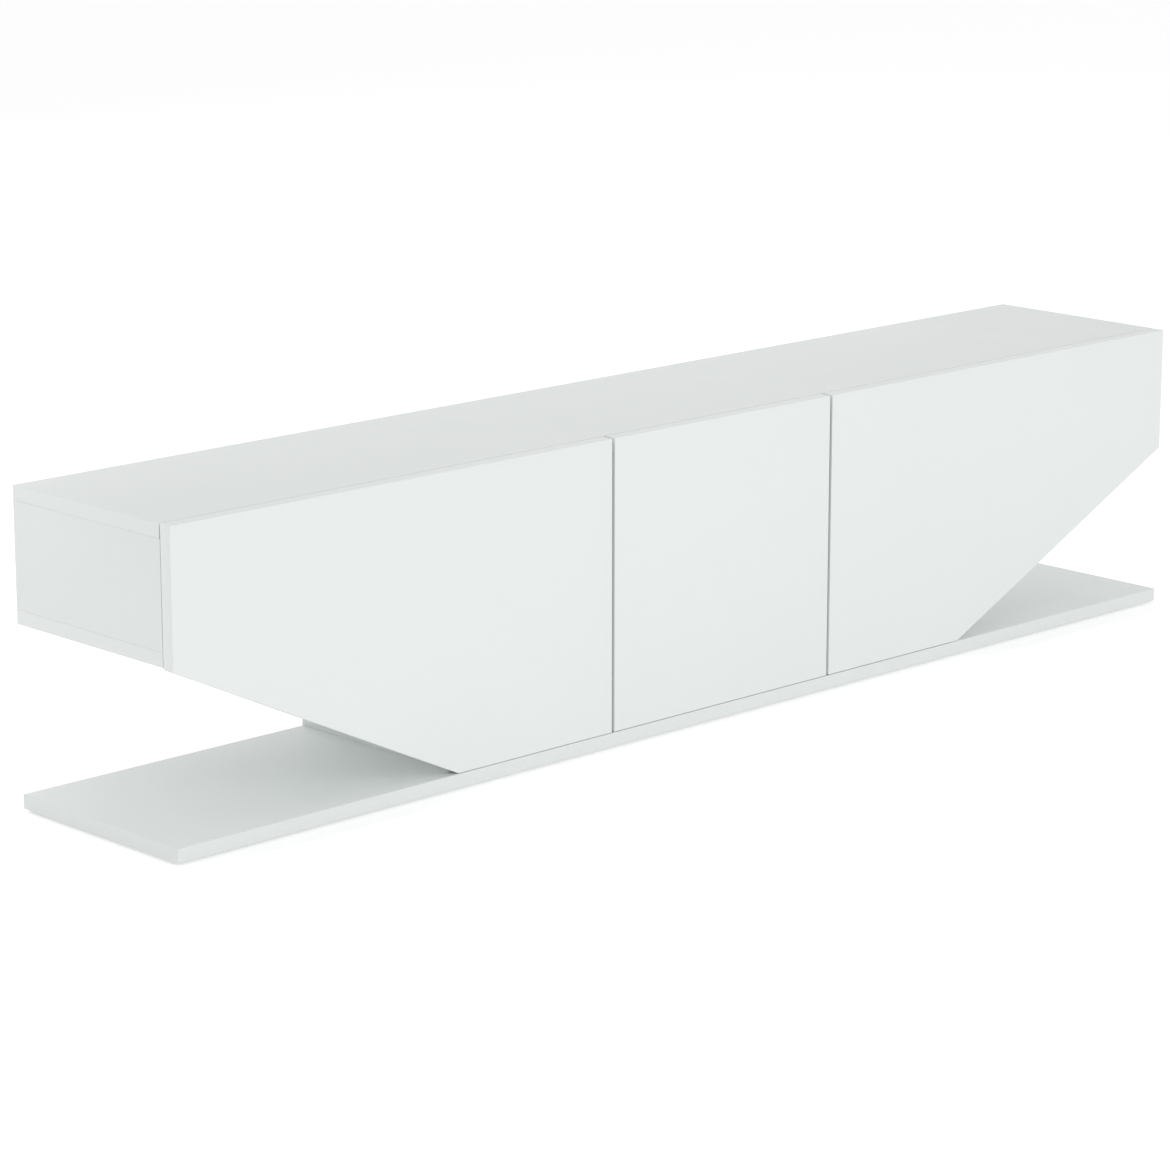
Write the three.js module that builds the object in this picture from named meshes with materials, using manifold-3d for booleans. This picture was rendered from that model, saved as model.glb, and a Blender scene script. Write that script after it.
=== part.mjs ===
// Low television stand: a long shallow box with three lift-up doors, carried by upright
// panels on a thin base of the same length. Millimetres. +X runs along the length, +Y to
// the back, +Z up. The origin is at the middle of the footprint, on the floor.

import * as THREE from 'three';
import { mergeVertices } from 'three/addons/utils/BufferGeometryUtils.js';
import Module from 'manifold-3d';

const wasm = await Module();
wasm.setup();

// ---------- driving dimensions ----------

const LENGTH = 1800;
const DEPTH = 300;
const BOARD = 18;
const STAND_HEIGHT = 400;          // underside of the base to the top surface
const BOX_HEIGHT = 170;            // the box alone, where it overhangs the base
const GLIDE_HEIGHT = 3;

const DOOR_CLEARANCE = 1;          // between a door's back and the panels below the top
const TOP_CLEARANCE = 2;           // the same at the top panel, which a door swings past
const DOOR_JOINT = 4.5;            // open joint between two doors
const DOOR_LIFT = 0.8;             // gap between a door's lower edge and the base
const CENTRE_MODULE = 400;         // middle door with half a joint on each side
const SLOPE_FOOT = 436;            // from the end to where a sloped edge meets the base
const SLOPE_DROP = 2;              // how far below the box a sloped edge starts
const SUPPORT_INSET = 437;         // from the end to a support panel's outer face

const BACK_THICK = 3;
const BACK_INSET = 10;             // from the rear edges to the back panels' rear faces
const SLOT = { length: 90, height: 44, lift: 44 };    // cable slots, lift is their centre's

const GLIDE = { radius: 12, foot: 11, insetX: 40, insetY: 35 };

const CUP = { belowTop: 22.5, radius: 17.2, depth: 12, wall: 1.1, rim: 1.5, plate: 1.2 };
const CUP_BORE = { radius: 17.5, depth: 12.3 };
const WING = { reach: 27, half: 6.5 };
const HINGE_FROM_DOOR_END = 100;
const CENTRE_HINGE_X = 110;

// Hinge arm: a channel hung from a plate under the top panel. Places along Y are counted
// from that panel's front edge, heights from its underside.
const ARM = { width: 17, cheek: 1.6, depth: 21, start: 1, end: 69, webStart: 20 };
const ARM_CORNER = { chamfer: 5, taper: 9 };
const ARM_PLATE = { start: 30, length: 20, width: 50, thick: 2 };
const LINK = { width: 8, half: 1.5, pin: 2.1, play: 0.2 };
const LINK_PIN = { y: 3, below: 16 };
const LINK_BEND = { y: -11, below: -3 };
const LINK_TIP = { y: -9.9, below: -9.1 };

// Gas strut. Stud places are from the doors' front face and below the top surface.
const STRUT_REAR = { y: 167, below: 40 };
const STRUT_FRONT = { y: 34, below: 48 };
const STRUT_OFFSET = 12;           // strut axis from the divider's face
const TUBE = { radius: 7, wall: 1, start: 8, end: 112, guide: 6, plug: 4, neck: 3.4 };
const PISTON = { start: 16, length: 6, radius: 5.6 };
const ROD_RADIUS = 3;
const EYE = { radius: 6, width: 8 };
const STUD = { radius: 3, collar: 4.5 };
const DIVIDER_BRACKET = { thick: 2, halfY: 10, halfZ: 15, studReach: 18 };
const DOOR_BRACKET = { thick: 2, width: 20, halfZ: 12, flangeHalf: 8, cap: 4 };
const RUNNING = 0.3;               // play between pieces that move on each other

const LATCH = { aboveBase: 42, width: 15, length: 62, height: 17, bore: 5, floor: 6 };
const LATCH_LUG = { thick: 3, start: 14, end: 48, reach: 10 };
const PLUNGER = { radius: 4.6, length: 46, chamfer: 1.2 };

// ---------- places that follow ----------

const END = LENGTH / 2;
const FRONT = -DEPTH / 2;
const BACK = DEPTH / 2;
const DOOR_BACK = FRONT + BOARD;
const PANEL_EDGE = DOOR_BACK + DOOR_CLEARANCE;
const TOP_EDGE = DOOR_BACK + TOP_CLEARANCE;
const PANEL_REAR = BACK - BACK_INSET;
const PANEL_FRONT = PANEL_REAR - BACK_THICK;

const BASE_TOP = GLIDE_HEIGHT + BOARD;
const TOP = GLIDE_HEIGHT + STAND_HEIGHT;
const CEILING = TOP - BOARD;
const BOX_UNDERSIDE = TOP - BOX_HEIGHT;
const BOX_FLOOR = BOX_UNDERSIDE + BOARD;
const DOOR_LOW = BASE_TOP + DOOR_LIFT;

const DIVIDER_X = CENTRE_MODULE / 2;
const SUPPORT_X = END - SUPPORT_INSET - BOARD / 2;
const JOINT_X = DIVIDER_X + DOOR_JOINT / 2;

// ---------- materials ----------

const finish = (color, roughness, metalness) => () =>
  new THREE.MeshStandardMaterial({ color, roughness, metalness });
const whiteBoard = finish(0xe6ebe8, 0.45, 0);
const hardboard = finish(0xe0e4e1, 0.7, 0);
const nickel = finish(0xb9bab8, 0.3, 1);
const strutPaint = finish(0x6f7273, 0.4, 0.6);
const rodSteel = finish(0xd2d4d4, 0.15, 1);
const whitePlastic = finish(0xe8e9e6, 0.5, 0);
const greyPlastic = finish(0xa9acab, 0.55, 0);

const stand = new THREE.Group();

function add(name, geometry, material) {
  const mesh = new THREE.Mesh(geometry, material());
  mesh.name = name;
  stand.add(mesh);
}

// ---------- solids ----------

// A box between two x, two y and two z values, each pair in either order.
function slab(xa, xb, ya, yb, za, zb) {
  const box = new THREE.BoxGeometry(Math.abs(xb - xa), Math.abs(yb - ya), Math.abs(zb - za));
  return box.translate((xa + xb) / 2, (ya + yb) / 2, (za + zb) / 2);
}

function outline(points) {
  return new THREE.Shape(points.map(([a, b]) => new THREE.Vector2(a, b)));
}

// A shape with two round ends, around the line between two points of its plane.
function roundBar(from, to, half) {
  const angle = Math.atan2(to.y - from.y, to.x - from.x);
  const shape = new THREE.Shape();
  shape.absarc(from.x, from.y, half, angle + Math.PI / 2, angle + Math.PI * 1.5, false);
  shape.absarc(to.x, to.y, half, angle - Math.PI / 2, angle + Math.PI / 2, false);
  return shape;
}

// Extrudes a shape drawn in the Y-Z plane along X, centred on x.
function alongX(shape, x, width) {
  const settings = { depth: width, bevelEnabled: false, curveSegments: 6 };
  const body = new THREE.ExtrudeGeometry(shape, settings).translate(0, 0, -width / 2);
  const axes = new THREE.Matrix4().set(0, 0, 1, x, 1, 0, 0, 0, 0, 1, 0, 0, 0, 0, 0, 1);
  return body.applyMatrix4(axes);
}

// Extrudes a shape drawn in the X-Z plane along Y.
function alongY(shape, y0, y1) {
  const settings = { depth: y1 - y0, bevelEnabled: false, curveSegments: 8 };
  return new THREE.ExtrudeGeometry(shape, settings).rotateX(Math.PI / 2).translate(0, y1, 0);
}

// Turns a closed [radius, y] profile about the Y axis.
function turned(profile, steps) {
  return new THREE.LatheGeometry(profile.map(([r, y]) => new THREE.Vector2(r, y)), steps);
}

function rodAlongX(xa, xb, y, z, radius, steps) {
  const rod = new THREE.CylinderGeometry(radius, radius, Math.abs(xb - xa), steps);
  return rod.rotateZ(Math.PI / 2).translate((xa + xb) / 2, y, z);
}

function rodAlongY(x, y0, y1, z, radius, steps) {
  const rod = new THREE.CylinderGeometry(radius, radius, y1 - y0, steps);
  return rod.translate(x, (y0 + y1) / 2, z);
}

function toSolid(geometry) {
  const bare = geometry.clone();
  bare.deleteAttribute('normal');
  bare.deleteAttribute('uv');
  const merged = mergeVertices(bare, 1e-4);
  const vertProperties = new Float32Array(merged.attributes.position.array);
  const triVerts = new Uint32Array(merged.index.array);
  return new wasm.Manifold(new wasm.Mesh({ numProp: 3, vertProperties, triVerts }));
}

function toGeometry(solid) {
  const mesh = solid.getMesh();
  const geometry = new THREE.BufferGeometry();
  geometry.setAttribute('position', new THREE.BufferAttribute(mesh.vertProperties, 3));
  geometry.setIndex(new THREE.BufferAttribute(mesh.triVerts, 1));
  geometry.computeVertexNormals();
  return geometry;
}

function join(...parts) {
  return toGeometry(parts.map(toSolid).reduce((all, part) => all.add(part)));
}

function cut(body, ...tools) {
  return toGeometry(tools.map(toSolid).reduce((left, tool) => left.subtract(tool), toSolid(body)));
}

// ---------- carcass ----------

function horizontals() {
  add('top_panel', slab(-END, END, TOP_EDGE, BACK, CEILING, TOP), whiteBoard);
  add('box_floor_panel', slab(-END, END, PANEL_EDGE, BACK, BOX_UNDERSIDE, BOX_FLOOR), whiteBoard);
  add('base_panel', slab(-END, END, FRONT, BACK, GLIDE_HEIGHT, BASE_TOP), whiteBoard);
}

function upright(name, x, rear, z0, z1) {
  add(name, slab(x - BOARD / 2, x + BOARD / 2, PANEL_EDGE, rear, z0, z1), whiteBoard);
}

function uprights(side, sign) {
  upright(`${side}_end_panel`, sign * (END - BOARD / 2), BACK, BOX_FLOOR, CEILING);
  upright(`${side}_support_panel`, sign * SUPPORT_X, BACK, BASE_TOP, BOX_UNDERSIDE);
  upright(`${side}_upper_divider`, sign * DIVIDER_X, PANEL_FRONT, BOX_FLOOR, CEILING);
  upright(`${side}_lower_divider`, sign * DIVIDER_X, PANEL_FRONT, BASE_TOP, BOX_UNDERSIDE);
}

// A thin back between two heights, with a round-ended cable slot at each given x.
function backPanel(name, half, z0, z1, slotCentres) {
  const panel = outline([[-half, z0], [half, z0], [half, z1], [-half, z1]]);
  const straight = (SLOT.length - SLOT.height) / 2;
  const z = z0 + SLOT.lift;
  for (const x of slotCentres) {
    const from = new THREE.Vector2(x - straight, z);
    const to = new THREE.Vector2(x + straight, z);
    panel.holes.push(roundBar(from, to, SLOT.height / 2));
  }
  add(name, alongY(panel, PANEL_FRONT, PANEL_REAR), hardboard);
}

function backs() {
  const upperSide = (END + DIVIDER_X) / 2;
  const lowerSide = (SUPPORT_X + DIVIDER_X) / 2;
  const lowerHalf = SUPPORT_X - BOARD / 2;
  backPanel('upper_back_panel', END - BOARD, BOX_FLOOR, CEILING, [-upperSide, 0, upperSide]);
  backPanel('lower_back_panel', lowerHalf, BASE_TOP, BOX_UNDERSIDE, [-lowerSide, 0, lowerSide]);
}

function glides() {
  const x = END - GLIDE.insetX;
  const y = BACK - GLIDE.insetY;
  for (const [column, gx] of [['left', -x], ['middle', 0], ['right', x]]) {
    for (const [row, gy] of [['front', -y], ['rear', y]]) {
      const glide = new THREE.CylinderGeometry(GLIDE.radius, GLIDE.foot, GLIDE_HEIGHT, 24);
      glide.rotateX(Math.PI / 2).translate(gx, gy, GLIDE_HEIGHT / 2);
      add(`${column}_${row}_glide`, glide, greyPlastic);
    }
  }
}

// ---------- doors ----------

// Pentagon of an outer door: straight at the joint, sloped from the box's end to the base.
function outerDoorShape(sign) {
  const joint = sign * JOINT_X;
  const end = sign * END;
  const foot = sign * (END - SLOPE_FOOT);
  const corner = BOX_UNDERSIDE - SLOPE_DROP;
  return outline([[joint, DOOR_LOW], [joint, TOP], [end, TOP], [end, corner], [foot, DOOR_LOW]]);
}

function centreDoorShape() {
  const half = DIVIDER_X - DOOR_JOINT / 2;
  return outline([[-half, DOOR_LOW], [half, DOOR_LOW], [half, TOP], [-half, TOP]]);
}

function door(name, shape, hingeXs) {
  const blank = alongY(shape, FRONT, DOOR_BACK);
  const z = TOP - CUP.belowTop;
  const bores = hingeXs.map((x) =>
    rodAlongY(x, DOOR_BACK - CUP_BORE.depth, DOOR_BACK + 1, z, CUP_BORE.radius, 24));
  add(name, cut(blank, ...bores), whiteBoard);
}

// ---------- hinges ----------

// Steel cup in the door's bore, with a rim and two screw wings on the door's back.
function hingeCup(name, x) {
  const inner = CUP.radius - CUP.wall;
  const rim = CUP.radius + CUP.rim;
  const floor = DOOR_BACK - CUP.depth;
  const face = DOOR_BACK + CUP.plate;
  const z = TOP - CUP.belowTop;
  const cup = turned([
    [0, floor], [CUP.radius, floor], [CUP.radius, DOOR_BACK], [rim, DOOR_BACK], [rim, face],
    [inner, face], [inner, floor + CUP.wall], [0, floor + CUP.wall],
  ], 24).translate(x, 0, z);
  const straight = WING.reach - WING.half;
  const ends = [-straight, straight].map((d) => new THREE.Vector2(x + d, z));
  const strip = roundBar(...ends, WING.half);
  const mouth = rodAlongY(x, DOOR_BACK - 1, face + 1, z, inner, 24);
  const wings = cut(alongY(strip, DOOR_BACK, face), mouth);
  add(name, join(cup, wings), nickel);
}

// Channel arm on a winged mounting plate, screwed to the underside of the top panel.
function hingeArm(name, x) {
  const y = (d) => TOP_EDGE + d;
  const plateUnder = CEILING - ARM_PLATE.thick;
  const low = CEILING - ARM.depth;
  const half = ARM.width / 2;
  const { chamfer, taper } = ARM_CORNER;
  const side = outline([
    [y(ARM.start), low + chamfer], [y(ARM.start + chamfer), low], [y(ARM.end - taper), low],
    [y(ARM.end), plateUnder - chamfer], [y(ARM.end), plateUnder], [y(ARM.start), plateUnder],
  ]);
  const cheeks = [-1, 1].map((s) => alongX(side, x + s * (half - ARM.cheek / 2), ARM.cheek));
  const webEnd = y(ARM.end - taper);
  const web = slab(x - half, x + half, y(ARM.webStart), webEnd, low, low + ARM.cheek);
  const bed = slab(x - half, x + half, y(ARM.webStart), y(ARM.end), plateUnder, CEILING);
  const wingHalf = ARM_PLATE.width / 2;
  const wingEnd = y(ARM_PLATE.start + ARM_PLATE.length);
  const wings = slab(x - wingHalf, x + wingHalf, y(ARM_PLATE.start), wingEnd, plateUnder, CEILING);
  add(name, join(...cheeks, web, bed, wings), nickel);
}

// Bent link from the arm's pin into the cup.
function hingeLink(name, x) {
  const at = ({ y, below }) => new THREE.Vector2(TOP_EDGE + y, CEILING - below);
  const [pin, bend, tip] = [LINK_PIN, LINK_BEND, LINK_TIP].map(at);
  const pinHalf = ARM.width / 2 - ARM.cheek - LINK.play;
  add(name, join(
    alongX(roundBar(pin, bend, LINK.half), x, LINK.width),
    alongX(roundBar(bend, tip, LINK.half), x, LINK.width),
    rodAlongX(x - pinHalf, x + pinHalf, pin.x, pin.y, LINK.pin, 16),
  ), nickel);
}

// ---------- gas struts ----------

const strutRear = new THREE.Vector2(FRONT + STRUT_REAR.y, TOP - STRUT_REAR.below);
const strutFront = new THREE.Vector2(FRONT + STRUT_FRONT.y, TOP - STRUT_FRONT.below);
const strutLine = strutFront.clone().sub(strutRear);

// Puts a body made along +Y from the origin onto the strut's line, its start at the rear stud.
function ontoStrut(geometry, x) {
  return geometry.rotateX(strutLine.angle()).translate(x, strutRear.x, strutRear.y);
}

function strutTube(name, x) {
  const bore = TUBE.radius - TUBE.wall;
  const guide = ROD_RADIUS + RUNNING;
  const half = EYE.width / 2;
  const barrel = turned([
    [0, TUBE.start], [TUBE.radius, TUBE.start], [TUBE.radius, TUBE.end], [guide, TUBE.end],
    [guide, TUBE.end - TUBE.guide], [bore, TUBE.end - TUBE.guide], [bore, TUBE.start + TUBE.plug],
    [0, TUBE.start + TUBE.plug],
  ], 16);
  const neck = rodAlongY(0, 2, TUBE.start + 1, 0, TUBE.neck, 16);
  const eye = rodAlongX(-half, half, 0, 0, EYE.radius, 20);
  const hole = rodAlongX(-half - 1, half + 1, 0, 0, STUD.radius + RUNNING, 16);
  add(name, ontoStrut(cut(join(barrel, neck, eye), hole), x), strutPaint);
}

function strutRod(name, x) {
  const reach = strutLine.length();
  const half = EYE.width / 2;
  const shaft = rodAlongY(0, PISTON.start + 1, reach, 0, ROD_RADIUS, 16);
  const piston = rodAlongY(0, PISTON.start, PISTON.start + PISTON.length, 0, PISTON.radius, 20);
  const eye = rodAlongX(-half, half, reach, 0, EYE.radius, 20);
  add(name, ontoStrut(join(shaft, piston, eye), x), rodSteel);
}

// Plate on a divider's face with the stud that the tube's eye turns on.
function dividerBracket(name, face, side) {
  const { x: y, y: z } = strutRear;
  const x = (d) => face + side * d;
  const { thick, halfY, halfZ, studReach } = DIVIDER_BRACKET;
  const collarEnd = STRUT_OFFSET - EYE.width / 2 - RUNNING;
  add(name, join(
    slab(x(0), x(thick), y - halfY, y + halfY, z - halfZ, z + halfZ),
    rodAlongX(x(thick / 2), x(studReach), y, z, STUD.radius, 16),
    rodAlongX(x(thick / 2), x(collarEnd), y, z, STUD.collar, 16),
  ), nickel);
}

// Angle on the door's back, its flange standing beside the rod's eye.
function doorBracket(name, face, side) {
  const { x: y, y: z } = strutFront;
  const start = STRUT_OFFSET + EYE.width / 2 + RUNNING;
  const x = (d) => face + side * (start + d);
  const { thick, width, halfZ, flangeHalf, cap } = DOOR_BRACKET;
  add(name, join(
    slab(x(0), x(width), DOOR_BACK, DOOR_BACK + thick, z - halfZ, z + halfZ),
    slab(x(0), x(thick), DOOR_BACK, y, z - flangeHalf, z + flangeHalf),
    rodAlongX(x(0), x(thick), y, z, flangeHalf, 20),
    rodAlongX(x(thick / 2), x(2 * thick), y, z, cap, 16),
  ), nickel);
}

// ---------- push latches ----------

const latchZ = BASE_TOP + LATCH.aboveBase;

function latchHousing(name, face, side) {
  const y = (d) => TOP_EDGE + d;
  const half = LATCH.height / 2;
  const lug = half + LATCH_LUG.reach;
  const x = face + side * LATCH.width / 2;
  const block = join(
    slab(face, face + side * LATCH.width, y(0), y(LATCH.length), latchZ - half, latchZ + half),
    slab(face, face + side * LATCH_LUG.thick, y(LATCH_LUG.start), y(LATCH_LUG.end),
      latchZ - lug, latchZ + lug),
  );
  const bore = rodAlongY(x, y(-1), y(LATCH.length - LATCH.floor), latchZ, LATCH.bore, 20);
  add(name, cut(block, bore), whitePlastic);
}

function latchPlunger(name, face, side) {
  const tip = DOOR_BACK + RUNNING;
  const { radius, length, chamfer } = PLUNGER;
  const body = turned([
    [0, tip], [radius - chamfer, tip], [radius, tip + chamfer],
    [radius, tip + length], [0, tip + length],
  ], 20);
  add(name, body.translate(face + side * LATCH.width / 2, 0, latchZ), greyPlastic);
}

// ---------- assembly ----------

const DIVIDER_FACE = DIVIDER_X + BOARD / 2;
const innerHinge = DIVIDER_X + HINGE_FROM_DOOR_END;
const outerHinge = END - HINGE_FROM_DOOR_END;

// face is the divider face that carries the strut and the latch, side the way it looks.
const doors = [
  {
    name: 'left',
    shape: outerDoorShape(-1),
    hinges: [-outerHinge, -innerHinge],
    face: -DIVIDER_FACE,
    side: -1,
  },
  {
    name: 'centre',
    shape: centreDoorShape(),
    hinges: [-CENTRE_HINGE_X, CENTRE_HINGE_X],
    face: BOARD - DIVIDER_FACE,
    side: 1,
  },
  {
    name: 'right',
    shape: outerDoorShape(1),
    hinges: [innerHinge, outerHinge],
    face: DIVIDER_FACE,
    side: 1,
  },
];

horizontals();
uprights('left', -1);
uprights('right', 1);
backs();
glides();

for (const { name, shape, hinges, face, side } of doors) {
  door(`${name}_door`, shape, hinges);
  hinges.forEach((x, index) => {
    const tag = `${name}_hinge_${'ab'[index]}`;
    hingeCup(`${tag}_cup`, x);
    hingeArm(`${tag}_arm`, x);
    hingeLink(`${tag}_link`, x);
  });
  strutTube(`${name}_strut_tube`, face + side * STRUT_OFFSET);
  strutRod(`${name}_strut_rod`, face + side * STRUT_OFFSET);
  dividerBracket(`${name}_strut_divider_bracket`, face, side);
  doorBracket(`${name}_strut_door_bracket`, face, side);
  latchHousing(`${name}_latch_housing`, face, side);
  latchPlunger(`${name}_latch_plunger`, face, side);
}

export default stand;
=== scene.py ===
import math

import bmesh
import bpy
from mathutils import Matrix, Vector


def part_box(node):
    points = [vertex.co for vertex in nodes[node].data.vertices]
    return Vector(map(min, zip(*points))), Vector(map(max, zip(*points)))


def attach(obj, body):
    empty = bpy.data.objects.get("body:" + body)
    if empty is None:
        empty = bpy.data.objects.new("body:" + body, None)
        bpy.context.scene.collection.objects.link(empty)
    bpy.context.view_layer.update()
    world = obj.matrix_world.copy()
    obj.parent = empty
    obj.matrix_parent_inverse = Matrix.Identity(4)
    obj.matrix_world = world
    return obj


# Looks for the low television stand. Metres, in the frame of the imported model:
# +X along the length, +Y from the doors to the back, +Z up, the floor at z = 0.

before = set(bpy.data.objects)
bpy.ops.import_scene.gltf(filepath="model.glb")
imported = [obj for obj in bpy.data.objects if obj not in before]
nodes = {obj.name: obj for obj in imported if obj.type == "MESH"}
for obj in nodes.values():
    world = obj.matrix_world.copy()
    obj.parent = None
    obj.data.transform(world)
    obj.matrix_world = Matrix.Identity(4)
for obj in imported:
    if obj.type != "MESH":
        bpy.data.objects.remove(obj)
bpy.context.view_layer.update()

MM = 0.001
X, Y, Z = range(3)
DOORS = ("left", "centre", "right")
HORIZONTALS = ("top_panel", "box_floor_panel", "base_panel")
UPRIGHTS = ("end_panel", "support_panel", "upper_divider", "lower_divider")
BACKS = ("upper_back_panel", "lower_back_panel")


# ---------- camera, floor and light ----------

VIEW_AZIMUTH = -43.82               # degrees from the front, negative to the left
VIEW_ELEVATION = 13.90
VIEW_DISTANCE = 5.2446
VIEW_AIM = Vector((-0.0623, 0.0452, 0.1561))
LENS = 122.2                        # mm
SENSOR = 36


def make_camera():
    data = bpy.data.cameras.new("camera")
    data.lens = LENS
    data.sensor_width = SENSOR
    data.clip_end = 100
    camera = bpy.data.objects.new("camera", data)
    bpy.context.scene.collection.objects.link(camera)
    a = math.radians(VIEW_AZIMUTH)
    e = math.radians(VIEW_ELEVATION)
    back = Vector((math.sin(a) * math.cos(e), -math.cos(a) * math.cos(e), math.sin(e)))
    camera.location = VIEW_AIM + back * VIEW_DISTANCE
    camera.rotation_euler = (-back).to_track_quat("-Z", "Y").to_euler()
    bpy.context.scene.camera = camera


FLOOR_REACH = 60
FLOOR_LEVEL = -0.2 * MM             # just clear of the glides' feet
FLOOR_GLOW = 0.27


def make_floor():
    r, z = FLOOR_REACH, FLOOR_LEVEL
    mesh = bpy.data.meshes.new("floor")
    corners = [(-r, -r, z), (r, -r, z), (r, r, z), (-r, r, z)]
    mesh.from_pydata(corners, [], [(0, 1, 2, 3)])
    floor = bpy.data.objects.new("floor", mesh)
    bpy.context.scene.collection.objects.link(floor)
    material = bpy.data.materials.new("pale_floor")
    material.use_nodes = True
    shader = material.node_tree.nodes["Principled BSDF"]
    shader.inputs["Base Color"].default_value = (0.86, 0.86, 0.86, 1)
    shader.inputs["Roughness"].default_value = 0.9
    shader.inputs["Specular IOR Level"].default_value = 0.1
    shader.inputs["Emission Color"].default_value = (1, 1, 1, 1)
    shader.inputs["Emission Strength"].default_value = FLOOR_GLOW
    mesh.materials.append(material)


def area_light(name, position, aim, size, power):
    data = bpy.data.lights.new(name, "AREA")
    data.shape = "RECTANGLE"
    data.size, data.size_y = size
    data.energy = power
    light = bpy.data.objects.new(name, data)
    bpy.context.scene.collection.objects.link(light)
    light.location = position
    sight = Vector(aim) - Vector(position)
    light.rotation_euler = sight.to_track_quat("-Z", "Y").to_euler()


SKY_HORIZON = 1.05                  # strength at the horizon
SKY_ZENITH = 0.82                   # and overhead
SKY_FADE = (0.04, 0.2)              # sines of the elevations between which it changes


def make_sky():
    """An even white sky, a little brighter towards the horizon."""
    world = bpy.data.worlds.new("studio")
    bpy.context.scene.world = world
    world.use_nodes = True
    sky_nodes, sky_links = world.node_tree.nodes, world.node_tree.links
    background = sky_nodes["Background"]
    background.inputs["Color"].default_value = (1, 1, 1, 1)
    direction = sky_nodes.new("ShaderNodeTexCoord").outputs["Generated"]
    parts = sky_nodes.new("ShaderNodeSeparateXYZ")
    fade = sky_nodes.new("ShaderNodeMapRange")
    fade.interpolation_type = "SMOOTHSTEP"
    fade.inputs["From Min"].default_value = SKY_FADE[0]
    fade.inputs["From Max"].default_value = SKY_FADE[1]
    fade.inputs["To Min"].default_value = SKY_HORIZON
    fade.inputs["To Max"].default_value = SKY_ZENITH
    sky_links.new(direction, parts.inputs["Vector"])
    sky_links.new(parts.outputs["Z"], fade.inputs["Value"])
    sky_links.new(fade.outputs["Result"], background.inputs["Strength"])


def make_lights():
    make_sky()
    area_light("key", position=(-0.5, -4.2, 2.2), aim=(0, 0, 0.2), size=(3.5, 2.0), power=38.8)
    area_light("back", position=(-0.5, 4.4, 2.2), aim=(-0.2, 0, 0.1), size=(3.5, 1.6), power=66)
    bpy.context.scene.view_settings.view_transform = "Standard"


# ---------- node materials ----------

class Shader:
    """A Principled material and short calls for the nodes that feed it."""

    def __init__(self, name, **values):
        self.material = bpy.data.materials.new(name)
        self.material.use_nodes = True
        self.tree = self.material.node_tree
        self.bsdf = self.tree.nodes["Principled BSDF"]
        for key, value in values.items():
            self.bsdf.inputs[key.replace("_", " ")].default_value = value
        self.place = self.node("ShaderNodeTexCoord").outputs["Object"]

    def node(self, kind, **settings):
        made = self.tree.nodes.new(kind)
        for key, value in settings.items():
            setattr(made, key, value)
        return made

    def join(self, source, target):
        self.tree.links.new(source, target)

    def math(self, operation, a, b=None):
        made = self.node("ShaderNodeMath", operation=operation)
        for slot, value in zip(made.inputs, (a, b)):
            if value is None:
                continue
            if isinstance(value, (int, float)):
                slot.default_value = value
            else:
                self.join(value, slot)
        return made.outputs[0]

    def noise(self, scale, detail=2.0, stretch=(1, 1, 1), roughness=0.5):
        source = self.place
        if stretch != (1, 1, 1):
            mapping = self.node("ShaderNodeMapping")
            mapping.inputs["Scale"].default_value = stretch
            self.join(source, mapping.inputs["Vector"])
            source = mapping.outputs[0]
        made = self.node("ShaderNodeTexNoise")
        made.inputs["Scale"].default_value = scale
        made.inputs["Detail"].default_value = detail
        made.inputs["Roughness"].default_value = roughness
        self.join(source, made.inputs["Vector"])
        return made.outputs["Fac"]

    def spread(self, source, low, high):
        """Maps the middle of a noise's range onto low to high."""
        made = self.node("ShaderNodeMapRange")
        made.inputs["From Min"].default_value = 0.25
        made.inputs["From Max"].default_value = 0.75
        made.inputs["To Min"].default_value = low
        made.inputs["To Max"].default_value = high
        self.join(source, made.inputs["Value"])
        return made.outputs[0]

    def blend(self, factor, a, b):
        """Mixes two colours. The RGBA colour sockets of a Mix node are inputs 6 and 7, output 2."""
        made = self.node("ShaderNodeMix", data_type="RGBA")
        self.join(factor, made.inputs["Factor"])
        for slot, value in ((made.inputs[6], a), (made.inputs[7], b)):
            if isinstance(value, tuple):
                slot.default_value = (*value, 1)
            else:
                self.join(value, slot)
        return made.outputs[2]

    def bump(self, height, distance, strength):
        made = self.node("ShaderNodeBump")
        made.inputs["Strength"].default_value = strength
        made.inputs["Distance"].default_value = distance
        self.join(height, made.inputs["Height"])
        self.join(made.outputs[0], self.bsdf.inputs["Normal"])

    def colour(self, source):
        self.join(source, self.bsdf.inputs["Base Color"])

    def gloss(self, source):
        self.join(source, self.bsdf.inputs["Roughness"])


WHITE = (0.728, 0.757, 0.743)
WHITE_SHADE = (0.712, 0.743, 0.729)
# Painted shade: the base panel's edge band is a darker white, standing in for the floor's shadow and
# weaker bounce light near the ground.
BASE_BAND_PAINTED_SHADE = (0.690, 0.719, 0.706)
SEAM = (0.56, 0.59, 0.57)
SEAM_STRENGTH = 0.45
EDGE_BAND = 0.8 * MM                # thickness of the band glued round a board
SEAM_HALF = 0.12 * MM


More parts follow.
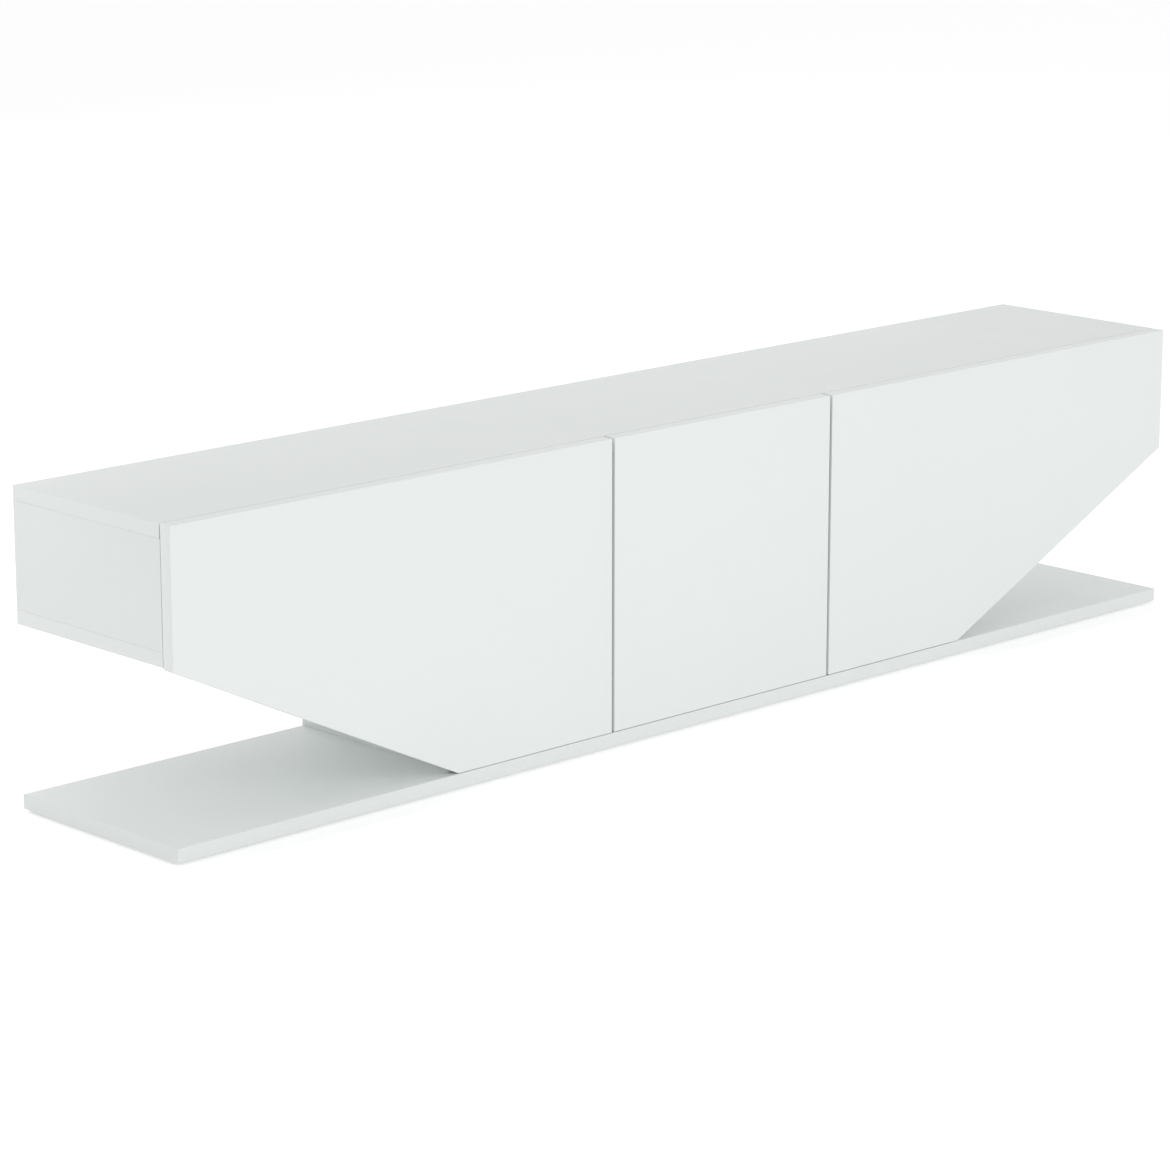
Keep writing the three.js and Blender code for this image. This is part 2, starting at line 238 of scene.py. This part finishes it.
def board_material(name, planes, band):
    """White melamine face, edge band round the perimeter and the hairline where the two meet.

    planes are (normal, offset) pairs that point into the board from each of its edges, and
    band is the colour of the edge band, which on the base panel is darkened as painted shade from the
    floor."""
    s = Shader(name, Roughness=0.42, Specular_IOR_Level=0.42)
    patches = s.noise(scale=2.3, detail=3.0)
    face = s.blend(s.spread(patches, 0, 1), WHITE, WHITE_SHADE)
    nearest = None
    for normal, offset in planes:
        dot = s.node("ShaderNodeVectorMath", operation="DOT_PRODUCT")
        s.join(s.place, dot.inputs[0])
        dot.inputs[1].default_value = normal
        reach = s.math("ADD", dot.outputs["Value"], offset)
        nearest = reach if nearest is None else s.math("MINIMUM", nearest, reach)
    face = s.blend(s.math("LESS_THAN", nearest, EDGE_BAND), face, band)
    off_seam = s.math("ABSOLUTE", s.math("SUBTRACT", nearest, EDGE_BAND))
    line = s.math("LESS_THAN", off_seam, SEAM_HALF)
    seam = s.math("MULTIPLY", line, SEAM_STRENGTH)
    s.colour(s.blend(seam, face, SEAM))
    s.gloss(s.spread(s.noise(scale=9.0, detail=3.0), 0.36, 0.47))
    pearl = s.noise(scale=1500.0, detail=2.0)
    grain = s.noise(scale=340.0, detail=2.0)
    height = s.math("ADD", s.math("MULTIPLY", pearl, 0.6), s.math("MULTIPLY", grain, 0.4))
    s.bump(height, distance=0.06 * MM, strength=0.35)
    return s.material


def hardboard_material():
    s = Shader("white_hardboard", Roughness=0.68, Specular_IOR_Level=0.3)
    fibre = s.noise(scale=420.0, detail=4.0, stretch=(1, 1, 0.35), roughness=0.65)
    fleck = s.noise(scale=60.0, detail=4.0)
    paint = s.blend(s.spread(fibre, 0, 1), (0.745, 0.765, 0.745), (0.70, 0.72, 0.70))
    s.colour(s.blend(s.spread(fleck, 0, 0.25), paint, (0.66, 0.66, 0.62)))
    s.gloss(s.spread(fleck, 0.6, 0.78))
    s.bump(fibre, distance=0.2 * MM, strength=0.35)
    return s.material


def steel_material(name, light, dark, rough, brushed):
    s = Shader(name, Metallic=1.0, Roughness=rough)
    streaks = s.noise(scale=900.0, detail=3.0, stretch=brushed, roughness=0.6)
    smudge = s.noise(scale=26.0, detail=3.0)
    s.colour(s.blend(s.spread(smudge, 0, 1), light, dark))
    s.gloss(s.spread(streaks, rough - 0.01, rough + 0.03))
    s.bump(streaks, distance=0.003 * MM, strength=0.12)
    return s.material


def paint_material():
    s = Shader("strut_enamel", Metallic=0.25, Roughness=0.36, Coat_Weight=0.25)
    mottle = s.noise(scale=240.0, detail=3.0)
    s.colour(s.blend(s.spread(mottle, 0, 1), (0.30, 0.31, 0.32), (0.26, 0.27, 0.28)))
    s.gloss(s.spread(s.noise(scale=60.0), 0.3, 0.44))
    s.bump(mottle, distance=0.03 * MM, strength=0.4)
    return s.material


def plastic_material(name, light, dark, rough):
    s = Shader(name, Roughness=rough, Specular_IOR_Level=0.45)
    s.colour(s.blend(s.spread(s.noise(scale=45.0, detail=3.0), 0, 1), light, dark))
    s.gloss(s.spread(s.noise(scale=120.0), rough - 0.06, rough + 0.08))
    s.bump(s.noise(scale=1800.0, detail=2.0), distance=0.04 * MM, strength=0.5)
    return s.material


def silicone_material():
    s = Shader("clear_silicone", Roughness=0.25, Transmission_Weight=0.75, IOR=1.41)
    s.colour(s.blend(s.spread(s.noise(scale=300.0), 0, 1), (0.86, 0.88, 0.88), (0.80, 0.83, 0.83)))
    s.gloss(s.spread(s.noise(scale=500.0), 0.2, 0.32))
    return s.material


nickel = steel_material(
    "nickel_plate", light=(0.76, 0.75, 0.73), dark=(0.71, 0.70, 0.68), rough=0.26, brushed=(1, 0.08, 1))
polished = steel_material(
    "polished_rod", light=(0.80, 0.80, 0.81), dark=(0.74, 0.74, 0.76), rough=0.14, brushed=(1, 0.05, 1))
zinc = steel_material(
    "zinc_screw", light=(0.74, 0.74, 0.75), dark=(0.66, 0.67, 0.69), rough=0.30, brushed=(1, 1, 1))
enamel = paint_material()
white_plastic = plastic_material(
    "white_plastic", light=(0.80, 0.81, 0.79), dark=(0.76, 0.77, 0.75), rough=0.42)
grey_plastic = plastic_material(
    "grey_plastic", light=(0.40, 0.41, 0.41), dark=(0.35, 0.36, 0.36), rough=0.55)
hardboard = hardboard_material()
silicone = silicone_material()


# ---------- finishing the CAD pieces ----------

def paint(node, material):
    node.data.materials.clear()
    node.data.materials.append(material)


WELD_REACH = 0.002 * MM
FLAT_ANGLE = math.radians(0.5)      # facets closer to flat than this are joined
SHARP_ANGLE = math.radians(32)      # edges sharper than this are rounded
BOARD_ROUND = 0.4 * MM
BACK_ROUND = 0.25 * MM
SAME_PLACE = 0.1 * MM


def soften(node, width, segments):
    """Welds the faceted mesh, clears flat facets and rounds its sharp edges."""
    weld = node.modifiers.new("weld", "WELD")
    weld.merge_threshold = WELD_REACH
    flat = node.modifiers.new("flat", "DECIMATE")
    flat.decimate_type = "DISSOLVE"
    flat.angle_limit = FLAT_ANGLE
    bevel = node.modifiers.new("bevel", "BEVEL")
    bevel.width = width
    bevel.segments = segments
    bevel.limit_method = "ANGLE"
    bevel.angle_limit = SHARP_ANGLE
    bevel.harden_normals = True
    bevel.use_clamp_overlap = True
    for face in node.data.polygons:
        face.use_smooth = True


def edge_planes(low, high, axes):
    """Inward planes of a box's edges across the given two axes."""
    planes = []
    for axis in axes:
        normal = [0, 0, 0]
        normal[axis] = 1
        planes.append((tuple(normal), -low[axis]))
        normal[axis] = -1
        planes.append((tuple(normal), high[axis]))
    return planes


def finish_board(name, thin_axis, extra_planes=()):
    low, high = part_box(name)
    axes = [axis for axis in (X, Y, Z) if axis != thin_axis]
    planes = edge_planes(low, high, axes) + list(extra_planes)
    # The base panel gets the darker band, painted shade for the floor's shadow along its edges.
    band = BASE_BAND_PAINTED_SHADE if name == "base_panel" else WHITE
    paint(nodes[name], board_material(f"board_{name}", planes, band))
    soften(nodes[name], BOARD_ROUND, segments=3)


def slope_plane(name, side):
    """Inward plane of a side door's sloped edge, from its outer corner to its foot."""
    low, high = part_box(name)
    outer_x = low.x if side < 0 else high.x
    points = [v.co for v in nodes[name].data.vertices]
    corner_z = min(p.z for p in points if abs(p.x - outer_x) < SAME_PLACE)
    lowest = [p.x for p in points if abs(p.z - low.z) < SAME_PLACE]
    foot_x = min(lowest) if side < 0 else max(lowest)
    along = Vector((foot_x - outer_x, 0, low.z - corner_z)).normalized()
    inward = Vector((-along.z, 0, along.x)) * (-side)
    if inward.z < 0:
        inward = -inward
    return tuple(inward), -inward.dot(Vector((foot_x, 0, low.z)))


def finish_boards():
    for name in HORIZONTALS:
        finish_board(name, Z)
    for side in ("left", "right"):
        for upright in UPRIGHTS:
            finish_board(f"{side}_{upright}", X)
    finish_board("left_door", Y, [slope_plane("left_door", -1)])
    finish_board("centre_door", Y)
    finish_board("right_door", Y, [slope_plane("right_door", 1)])
    for name in BACKS:
        paint(nodes[name], hardboard)
        soften(nodes[name], BACK_ROUND, segments=2)


def finish_hardware():
    """Material and edge rounding in mm for each kind of fitting, by the end of its name."""
    looks = (
        ("_cup", nickel, 0.25),
        ("_arm", nickel, 0.45),
        ("_link", nickel, 0.4),
        ("_bracket", nickel, 0.35),
        ("_strut_tube", enamel, 0.5),
        ("_strut_rod", polished, 0.4),
        ("_latch_housing", white_plastic, 0.8),
        ("_latch_plunger", grey_plastic, 0.3),
        ("_glide", grey_plastic, 0.4),
    )
    for name, node in nodes.items():
        for ending, material, width in looks:
            if name.endswith(ending):
                paint(node, material)
                soften(node, width * MM, segments=2)


# ---------- small made pieces ----------

def new_piece(name, geometry, material, body):
    """A named mesh object from a bmesh, riding on a body."""
    bmesh.ops.recalc_face_normals(geometry, faces=geometry.faces)
    mesh = bpy.data.meshes.new(name)
    geometry.to_mesh(mesh)
    geometry.free()
    mesh.materials.append(material)
    piece = bpy.data.objects.new(name, mesh)
    bpy.context.scene.collection.objects.link(piece)
    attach(piece, body)


def turned(profile, steps):
    """A closed body of revolution about +Z from [radius, height] points, both ends on the axis."""
    body = bmesh.new()
    rings = []
    for radius, height in profile:
        if radius == 0:
            rings.append([body.verts.new((0, 0, height))])
            continue
        ring = []
        for i in range(steps):
            a = 2 * math.pi * i / steps
            ring.append(body.verts.new((radius * math.cos(a), radius * math.sin(a), height)))
        rings.append(ring)
    for lower, upper in zip(rings, rings[1:]):
        for i in range(steps):
            j = (i + 1) % steps
            if len(lower) == 1:
                body.faces.new((lower[0], upper[i], upper[j]))
            elif len(upper) == 1:
                body.faces.new((lower[i], lower[j], upper[0]))
            else:
                body.faces.new((lower[i], lower[j], upper[j], upper[i]))
    for face in body.faces:
        face.smooth = True
    return body


def facing(direction, position):
    """Places a body made along +Z so that +Z points along direction."""
    turn = Vector(direction).to_track_quat("Z", "Y").to_matrix().to_4x4()
    return Matrix.Translation(Vector(position)) @ turn


def stamp(target, source, matrix):
    """Copies source into target at the given place."""
    made = {v: target.verts.new(matrix @ v.co) for v in source.verts}
    for face in source.faces:
        copy = target.faces.new([made[v] for v in face.verts])
        copy.smooth = face.smooth


def cross_prism(arm, half, bottom, top):
    """An upright prism with a plus-shaped section."""
    quarter = [(arm, -half), (arm, half), (half, half)]
    outline = []
    for turn in range(4):
        spin = Matrix.Rotation(turn * math.pi / 2, 2)
        outline += [spin @ Vector(point) for point in quarter]
    body = bmesh.new()
    floor = body.faces.new([body.verts.new((p.x, p.y, bottom)) for p in outline])
    raised = bmesh.ops.extrude_face_region(body, geom=[floor])["geom"]
    lifted = [v for v in raised if isinstance(v, bmesh.types.BMVert)]
    bmesh.ops.translate(body, verts=lifted, vec=(0, 0, top - bottom))
    bmesh.ops.recalc_face_normals(body, faces=body.faces)
    return body


def pan_head(radius, height):
    """A domed screw head with a cross recess."""
    steps = 5
    rim = 0.35                      # share of the height that is straight
    dome = []
    for i in range(steps):
        a = math.radians(90 * i / steps)
        dome.append((radius * math.cos(a), height * (rim + (1 - rim) * math.sin(a))))
    head = turned([(0, 0), (radius, 0), *dome, (0, height)], steps=28)
    mesh = bpy.data.meshes.new("screw_head")
    head.to_mesh(mesh)
    head.free()
    blank = bpy.data.objects.new("screw_head", mesh)
    cross = cross_prism(
        arm=radius * 0.62, half=radius * 0.13, bottom=height * 0.45, top=height * 1.6)
    cross_mesh = bpy.data.meshes.new("screw_cross")
    cross.to_mesh(cross_mesh)
    cross.free()
    tool = bpy.data.objects.new("screw_cross", cross_mesh)
    for helper in (blank, tool):
        bpy.context.scene.collection.objects.link(helper)
    recess = blank.modifiers.new("recess", "BOOLEAN")
    recess.operation = "DIFFERENCE"
    recess.solver = "EXACT"
    recess.object = tool
    bpy.context.view_layer.update()
    evaluated = blank.evaluated_get(bpy.context.evaluated_depsgraph_get())
    result = bmesh.new()
    result.from_mesh(evaluated.to_mesh())
    evaluated.to_mesh_clear()
    for helper in (blank, tool):
        bpy.data.objects.remove(helper)
    return result


def screws(name, head, places, body):
    group = bmesh.new()
    for position, direction in places:
        stamp(group, head, facing(direction, position))
    new_piece(name, group, zinc, body)


def centre(name):
    low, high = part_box(name)
    return (low + high) / 2


SCREW_RADIUS = 3.6 * MM
SCREW_HEIGHT = 1.9 * MM
CUP_SCREW_X = 21.5 * MM             # from the cup's middle
PLATE_SCREW_X = 16.5 * MM           # from the arm's middle
PLATE_SCREW_Y = 39 * MM             # from the arm's front end
PLATE_THICK = 2 * MM
ARM_SCREWS_Y = (28 * MM, 48 * MM)   # from the arm's front end


def hinge_screws(head):
    """Two screws in every cup's wings, two in every mounting plate and two in its arm."""
    plate_places = []
    arm_places = []
    for door in DOORS:
        cup_places = []
        for tag in "ab":
            low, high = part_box(f"{door}_hinge_{tag}_cup")
            middle = (low + high) / 2
            for side in (-1, 1):
                x = middle.x + side * CUP_SCREW_X
                cup_places.append(((x, high.y, middle.z), (0, 1, 0)))
            low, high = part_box(f"{door}_hinge_{tag}_arm")
            middle = (low + high) / 2
            for side in (-1, 1):
                x = middle.x + side * PLATE_SCREW_X
                y = low.y + PLATE_SCREW_Y
                plate_places.append(((x, y, high.z - PLATE_THICK), (0, 0, -1)))
            for y in ARM_SCREWS_Y:
                arm_places.append(((middle.x, low.y + y, low.z), (0, 0, -1)))
        screws(f"{door}_cup_screws", head, cup_places, f"{door}_door")
    screws("plate_screws", head, plate_places, "carcass")
    screws("arm_screws", head, arm_places, "carcass")


BRACKET_THICK = 2 * MM
DIVIDER_SCREW_Z = 11 * MM           # from the divider bracket's middle
DOOR_SCREW_X = 8 * MM               # from the door bracket's outer side
DOOR_SCREW_Z = 6 * MM               # from its middle
LUG_THICK = 3 * MM                  # the latch housing's lugs
LUG_SCREW_Y = 31 * MM               # from the housing's front end
LUG_SCREW_Z = 5 * MM                # from the lug's end


def bracket_screws(head):
    """Two screws in every strut bracket and one in each lug of a latch housing."""
    carcass_places = []
    for door in DOORS:
        side = -1 if door == "left" else 1
        low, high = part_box(f"{door}_strut_divider_bracket")
        x = high.x - BRACKET_THICK if side < 0 else low.x + BRACKET_THICK
        middle = (low + high) / 2
        for dz in (-DIVIDER_SCREW_Z, DIVIDER_SCREW_Z):
            carcass_places.append(((x, middle.y, middle.z + dz), (side, 0, 0)))
        low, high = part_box(f"{door}_latch_housing")
        lug_x = high.x - LUG_THICK if side < 0 else low.x + LUG_THICK
        for z in (low.z + LUG_SCREW_Z, high.z - LUG_SCREW_Z):
            carcass_places.append(((lug_x, low.y + LUG_SCREW_Y, z), (side, 0, 0)))
        low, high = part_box(f"{door}_strut_door_bracket")
        x = low.x + DOOR_SCREW_X if side < 0 else high.x - DOOR_SCREW_X
        y = low.y + BRACKET_THICK
        middle = (low + high) / 2
        door_places = []
        for dz in (-DOOR_SCREW_Z, DOOR_SCREW_Z):
            door_places.append(((x, y, middle.z + dz), (0, 1, 0)))
        screws(f"{door}_bracket_screws", head, door_places, f"{door}_door")
    screws("carcass_screws", head, carcass_places, "carcass")


def turned_mm(profile, steps):
    """A turned body from a profile in millimetres."""
    return turned([(radius * MM, height * MM) for radius, height in profile], steps)


CAM_COVER = ((0, 0), (8.6, 0), (8.6, 0.35), (7.9, 0.8), (0, 0.95))
CAM_COVERS_Y = (100 * MM, 225 * MM)  # from an upright's front edge
CAM_COVER_Z = 34 * MM                # from its upper and lower ends


def cam_covers():
    """Press-in caps over the cam fittings, on the inner face of every upright."""
    cap = turned_mm(CAM_COVER, steps=36)
    group = bmesh.new()
    for side, sign in (("left", -1), ("right", 1)):
        for upright in UPRIGHTS:
            low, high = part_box(f"{side}_{upright}")
            x = high.x if sign < 0 else low.x
            for y in CAM_COVERS_Y:
                for z in (low.z + CAM_COVER_Z, high.z - CAM_COVER_Z):
                    stamp(group, cap, facing((-sign, 0, 0), (x, low.y + y, z)))
    cap.free()
    new_piece("cam_covers", group, white_plastic, "carcass")


STRIKE_DISC = ((0, 0), (8, 0), (8, 0.1), (7.7, 0.25), (0, 0.25))


def strike_plates():
    """A thin steel disc on each door where the latch plunger meets it."""
    disc = turned_mm(STRIKE_DISC, steps=36)
    for door in DOORS:
        group = bmesh.new()
        plunger = centre(f"{door}_latch_plunger")
        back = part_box(f"{door}_door")[1].y
        stamp(group, disc, facing((0, 1, 0), (plunger.x, back, plunger.z)))
        new_piece(f"{door}_strike_plate", group, nickel, f"{door}_door")
    disc.free()


BUMPER = ((0, 0), (3.4, 0), (3.2, 0.4), (2.2, 0.7), (0, 0.85))
BUMPER_INSET = 4 * MM               # from a divider's face to the bumper that lands on its edge
BUMPER_RISE = 90 * MM               # above a door's lower edge


def bumpers():
    """Clear domes on the doors' backs that land on the uprights' front edges."""
    dome = turned_mm(BUMPER, steps=24)
    low_left, high_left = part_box("left_lower_divider")
    low_right, high_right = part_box("right_lower_divider")
    rests = {
        "left": (centre("left_support_panel").x, low_left.x + BUMPER_INSET),
        "centre": (high_left.x - BUMPER_INSET, low_right.x + BUMPER_INSET),
        "right": (high_right.x - BUMPER_INSET, centre("right_support_panel").x),
    }
    for door, xs in rests.items():
        low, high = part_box(f"{door}_door")
        group = bmesh.new()
        for x in xs:
            stamp(group, dome, facing((0, 1, 0), (x, high.y, low.z + BUMPER_RISE)))
        new_piece(f"{door}_bumpers", group, silicone, f"{door}_door")
    dome.free()


make_camera()
make_floor()
make_lights()
finish_boards()
finish_hardware()

screw_head = pan_head(SCREW_RADIUS, SCREW_HEIGHT)
hinge_screws(screw_head)
bracket_screws(screw_head)
screw_head.free()
cam_covers()
strike_plates()
bumpers()
